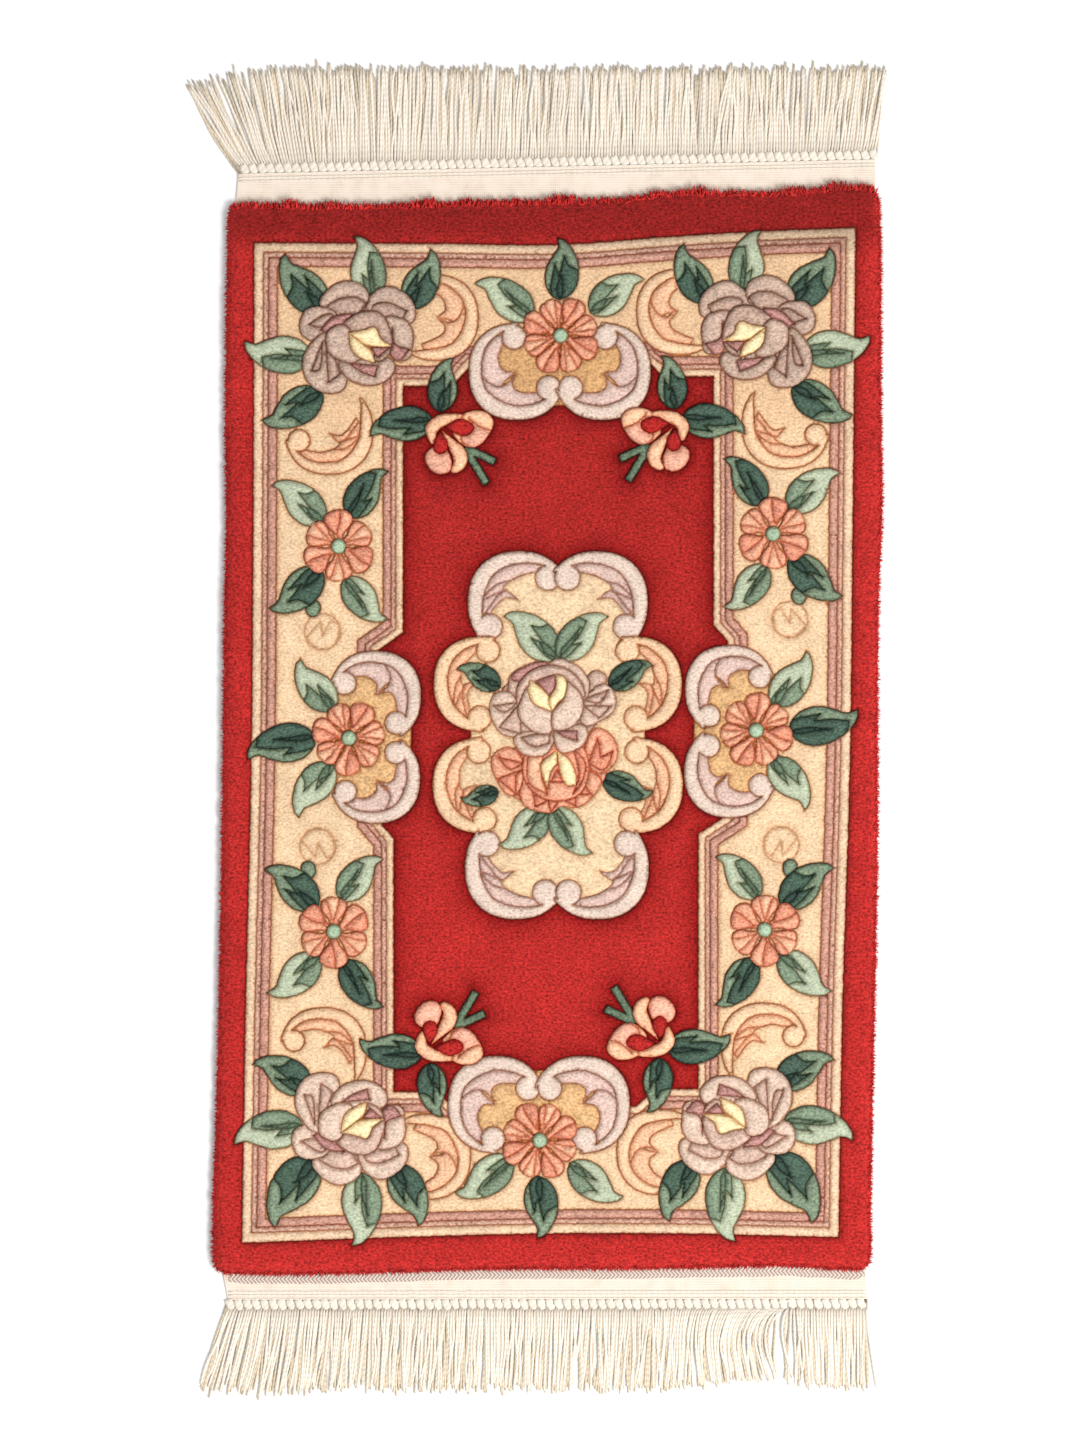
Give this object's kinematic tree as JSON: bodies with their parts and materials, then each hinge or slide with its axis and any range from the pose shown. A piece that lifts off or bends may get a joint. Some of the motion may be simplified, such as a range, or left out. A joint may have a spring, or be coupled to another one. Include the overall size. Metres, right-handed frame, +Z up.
{
  "type": "carved pile rug",
  "caption": "Flat oblong wool pile rug with carved flower sprays, scrolls and a centre medallion, a plain rim, woven end webs and a corded cotton fringe sewn to each end.",
  "frame": {"origin": "on the underside, in the middle of the pile", "axes": "+X across the rug, +Y along it towards the longer fringe, +Z up out of the pile"},
  "size_m": [0.7423, 1.4032, 0.0159],
  "materials": {
    "wool_pile": "cut wool pile, carved round its motifs",
    "cotton_fringe": "plied undyed cotton cord"
  },
  "bodies": {
    "root": {"rug_body": "wool_pile", "fringe_top": "cotton_fringe", "fringe_bottom": "cotton_fringe"}
  },
  "joints": []
}
